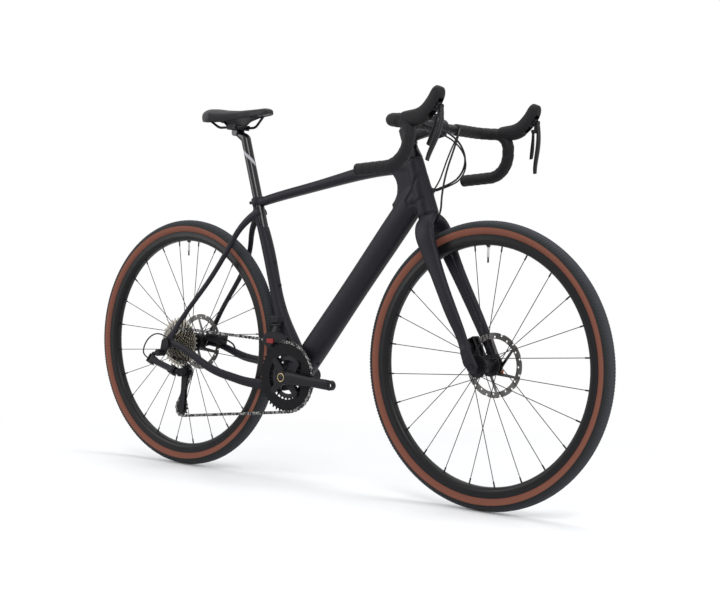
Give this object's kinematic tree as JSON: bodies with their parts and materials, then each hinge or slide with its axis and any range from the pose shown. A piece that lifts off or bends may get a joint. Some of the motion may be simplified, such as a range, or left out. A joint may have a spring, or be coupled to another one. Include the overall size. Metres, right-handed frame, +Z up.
{
  "type": "gravel bicycle",
  "caption": "Drop-bar gravel bike with a black carbon frame, wide tan-walled tyres, disc brakes, a double crankset without pedals and front and rear derailleurs.",
  "frame": {"origin": "on the ground under the middle of the bike's box", "axes": "+X forward from the rear wheel to the front wheel, +Y to the rider's left, +Z up"},
  "size_m": [1.7398, 0.4738, 1.0162],
  "materials": {
    "carbon_paint": "satin black painted carbon",
    "black_alloy": "satin black anodised",
    "silver_alloy": "satin",
    "steel": "brushed",
    "black_steel": "black coated",
    "chain_steel": "oiled",
    "tyre": "matte, tan side walls",
    "rim": "satin black",
    "tape": "matte",
    "rubber": "matte",
    "saddle": "smooth synthetic",
    "plastic": "matte",
    "pad": "moulded friction material"
  },
  "bodies": {
    "frame": {"main_frame": "carbon_paint", "frame_bearings": "black_steel", "frame_bolts": "black_steel", "derailleur_hanger": "black_alloy", "derailleur_knuckle": "black_alloy", "rear_thru_axle": "black_alloy", "rear_caliper": "black_alloy", "rear_brake_hose": "plastic", "front_derailleur_body": "black_alloy", "chain": "chain_steel", "gear_cables": "plastic", "control_hoses": "plastic"},
    "steering": {"fork": "carbon_paint", "front_thru_axle": "black_alloy", "headset_spacers": "black_alloy", "stem": "black_alloy", "stem_faceplate": "black_alloy", "handlebar": "black_alloy", "bar_tape": "tape", "lever_brackets": "plastic", "lever_hoods": "rubber", "front_caliper": "black_alloy", "front_brake_hose": "plastic"},
    "front_wheel": {"front_tyre": "tyre", "front_rim": "rim", "front_spokes": "black_steel", "front_hub": "black_alloy", "front_rotor": "steel"},
    "rear_wheel": {"rear_tyre": "tyre", "rear_rim": "rim", "rear_spokes": "black_steel", "rear_hub": "black_alloy", "rear_rotor": "steel"},
    "cassette": {"cassette": "steel"},
    "crankset": {"right_crank_arm": "black_alloy", "left_crank_arm": "black_alloy", "outer_chainring": "black_alloy", "inner_chainring": "black_alloy"},
    "outer_link": {"derailleur_outer_link": "black_alloy"},
    "inner_link": {"derailleur_inner_link": "black_alloy"},
    "carrier": {"derailleur_carrier": "black_alloy"},
    "cage": {"derailleur_cage": "black_alloy"},
    "guide_pulley": {"guide_pulley": "plastic"},
    "tension_pulley": {"tension_pulley": "plastic"},
    "front_derailleur_cage": {"front_derailleur_cage": "silver_alloy"},
    "left_yoke": {"left_lever_yoke": "black_alloy"},
    "left_blade": {"left_lever_blade": "black_alloy"},
    "left_paddle": {"left_shift_paddle": "black_alloy"},
    "right_yoke": {"right_lever_yoke": "black_alloy"},
    "right_blade": {"right_lever_blade": "black_alloy"},
    "right_paddle": {"right_shift_paddle": "black_alloy"},
    "front_inner_pad": {"front_inner_pad": "pad"},
    "front_outer_pad": {"front_outer_pad": "pad"},
    "rear_inner_pad": {"rear_inner_pad": "pad"},
    "rear_outer_pad": {"rear_outer_pad": "pad"},
    "seatpost": {"seatpost": "black_alloy"},
    "saddle_clamp": {"saddle_clamp": "black_alloy"},
    "saddle": {"saddle": "saddle", "saddle_rails": "black_steel"}
  },
  "joints": [
    {"name": "steering_turn", "type": "hinge", "parent": "frame", "child": "steering", "pos_m": [0.47087, 0, 0.33531], "axis": [-0.3338, 0, 0.9426], "range_deg": [-60, 60], "deforming": ["control_hoses"]},
    {"name": "front_wheel_spin", "type": "hinge", "parent": "steering", "child": "front_wheel", "pos_m": [0.518, 0, 0.352], "axis": [0, 1, 0], "continuous": true},
    {"name": "rear_wheel_spin", "type": "hinge", "parent": "frame", "child": "rear_wheel", "pos_m": [-0.518, 0, 0.352], "axis": [0, 1, 0], "continuous": true},
    {"name": "crank_spin", "type": "hinge", "parent": "frame", "child": "crankset", "pos_m": [-0.08531, 0, 0.284], "axis": [0, 1, 0], "continuous": true, "deforming": ["chain"]},
    {"name": "cassette_spin", "type": "hinge", "parent": "frame", "child": "cassette", "pos_m": [-0.518, 0, 0.352], "axis": [0, 1, 0], "continuous": true, "deforming": ["chain"]},
    {"name": "outer_link_turn", "type": "hinge", "parent": "frame", "child": "outer_link", "pos_m": [-0.55468, -0.10213, 0.30507], "axis": [0.2099, 0.472, 0.8563], "range_deg": [-15, 15], "deforming": ["chain"]},
    {"name": "inner_link_turn", "type": "hinge", "parent": "frame", "child": "inner_link", "pos_m": [-0.56032, -0.08847, 0.29893], "axis": [0.2099, 0.472, 0.8563], "range_deg": [-15, 15]},
    {"name": "carrier_turn", "type": "hinge", "parent": "outer_link", "child": "carrier", "pos_m": [-0.48868, -0.08613, 0.28007], "axis": [0.2099, 0.472, 0.8563], "range_deg": [-15, 15]},
    {"name": "cage_swing", "type": "hinge", "parent": "carrier", "child": "cage", "pos_m": [-0.468, -0.0478, 0.271], "axis": [0, -1, 0], "range_deg": [-20, 50], "stiffness_Nm_per_rad": 1.2},
    {"name": "guide_pulley_spin", "type": "hinge", "parent": "cage", "child": "guide_pulley", "pos_m": [-0.468, -0.0478, 0.271], "axis": [0, 1, 0], "continuous": true},
    {"name": "tension_pulley_spin", "type": "hinge", "parent": "cage", "child": "tension_pulley", "pos_m": [-0.48136, -0.0478, 0.16786], "axis": [0, 1, 0], "continuous": true},
    {"name": "front_derailleur_swing", "type": "hinge", "parent": "frame", "child": "front_derailleur_cage", "pos_m": [-0.14189, -0.031, 0.42], "axis": [1, 0, 0], "range_deg": [-2, 6], "stiffness_Nm_per_rad": 2},
    {"name": "left_brake_pull", "type": "hinge", "parent": "steering", "child": "left_yoke", "pos_m": [0.507, 0.207, 0.962], "axis": [0, 1, 0], "range_deg": [0, 24], "stiffness_Nm_per_rad": 2.5},
    {"name": "left_blade_swing", "type": "hinge", "parent": "left_yoke", "child": "left_blade", "pos_m": [0.516, 0.207, 0.957], "axis": [-1, 0, 0], "range_deg": [0, 12], "stiffness_Nm_per_rad": 1.5},
    {"name": "left_paddle_swing", "type": "hinge", "parent": "left_yoke", "child": "left_paddle", "pos_m": [0.505, 0.207, 0.936], "axis": [-1, 0, 0], "range_deg": [0, 14], "stiffness_Nm_per_rad": 0.8},
    {"name": "right_brake_pull", "type": "hinge", "parent": "steering", "child": "right_yoke", "pos_m": [0.507, -0.207, 0.962], "axis": [0, 1, 0], "range_deg": [0, 24], "stiffness_Nm_per_rad": 2.5},
    {"name": "right_blade_swing", "type": "hinge", "parent": "right_yoke", "child": "right_blade", "pos_m": [0.516, -0.207, 0.957], "axis": [1, 0, 0], "range_deg": [0, 12], "stiffness_Nm_per_rad": 1.5},
    {"name": "right_paddle_swing", "type": "hinge", "parent": "right_yoke", "child": "right_paddle", "pos_m": [0.505, -0.207, 0.936], "axis": [1, 0, 0], "range_deg": [0, 14], "stiffness_Nm_per_rad": 0.8},
    {"name": "front_inner_pad_slide", "type": "slide", "parent": "steering", "child": "front_inner_pad", "axis": [0, 1, 0], "range_m": [0, 0.00035]},
    {"name": "front_outer_pad_slide", "type": "slide", "parent": "steering", "child": "front_outer_pad", "axis": [0, -1, 0], "range_m": [0, 0.00035]},
    {"name": "rear_inner_pad_slide", "type": "slide", "parent": "frame", "child": "rear_inner_pad", "axis": [0, 1, 0], "range_m": [0, 0.00035]},
    {"name": "rear_outer_pad_slide", "type": "slide", "parent": "frame", "child": "rear_outer_pad", "axis": [0, -1, 0], "range_m": [0, 0.00035]},
    {"name": "seatpost_slide", "type": "slide", "parent": "frame", "child": "seatpost", "axis": [-0.2924, 0, 0.9563], "range_m": [-0.04, 0.04]},
    {"name": "saddle_tilt", "type": "hinge", "parent": "seatpost", "child": "saddle_clamp", "pos_m": [-0.33109, 0, 0.947], "axis": [0, 1, 0], "range_deg": [-8, 8]},
    {"name": "saddle_rail_slide", "type": "slide", "parent": "saddle_clamp", "child": "saddle", "axis": [1, 0, 0], "range_m": [-0.01, 0.01]}
  ],
  "couplings": [
    {"joint": "cassette_spin", "follows": "crank_spin", "ratio": 2.1905},
    {"joint": "guide_pulley_spin", "follows": "crank_spin", "ratio": -4.1818},
    {"joint": "tension_pulley_spin", "follows": "crank_spin", "ratio": 4.1818},
    {"joint": "inner_link_turn", "follows": "outer_link_turn", "ratio": 1},
    {"joint": "carrier_turn", "follows": "outer_link_turn", "ratio": -1},
    {"joint": "front_inner_pad_slide", "follows": "left_brake_pull", "m_per_rad": 0.00083473},
    {"joint": "front_outer_pad_slide", "follows": "left_brake_pull", "m_per_rad": 0.00083473},
    {"joint": "rear_inner_pad_slide", "follows": "right_brake_pull", "m_per_rad": 0.00083473},
    {"joint": "rear_outer_pad_slide", "follows": "right_brake_pull", "m_per_rad": 0.00083473}
  ]
}
